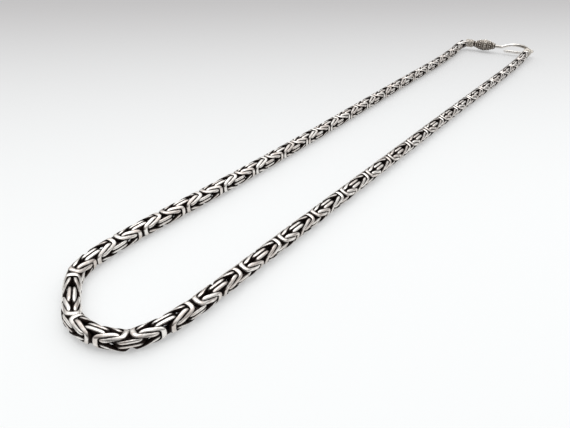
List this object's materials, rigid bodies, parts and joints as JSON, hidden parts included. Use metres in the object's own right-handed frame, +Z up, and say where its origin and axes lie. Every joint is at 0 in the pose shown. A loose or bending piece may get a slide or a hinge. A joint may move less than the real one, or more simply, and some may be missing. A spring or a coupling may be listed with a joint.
{
  "type": "byzantine chain necklace",
  "caption": "Silver byzantine chain necklace with an oval decorated bead and a fastened hook clasp, lying as a long narrow loop.",
  "frame": {"origin": "middle of the loop on the surface that it lies on", "axes": "+Y runs along the two strands from the near bend to the clasp, +X across them towards the strand with the eye, +Z up"},
  "size_m": [0.0326, 0.2298, 0.0055],
  "materials": {
    "woven_silver": "bright silver wire with blackened recesses",
    "oxidised_silver": "blackened silver with bright granules and rims",
    "polished_silver": "plain polished silver"
  },
  "bodies": {
    "root": {"chain": "woven_silver", "hook_end_cap": "oxidised_silver", "barrel_bead": "oxidised_silver", "hook": "polished_silver", "eye_end_cap": "oxidised_silver"}
  },
  "joints": []
}
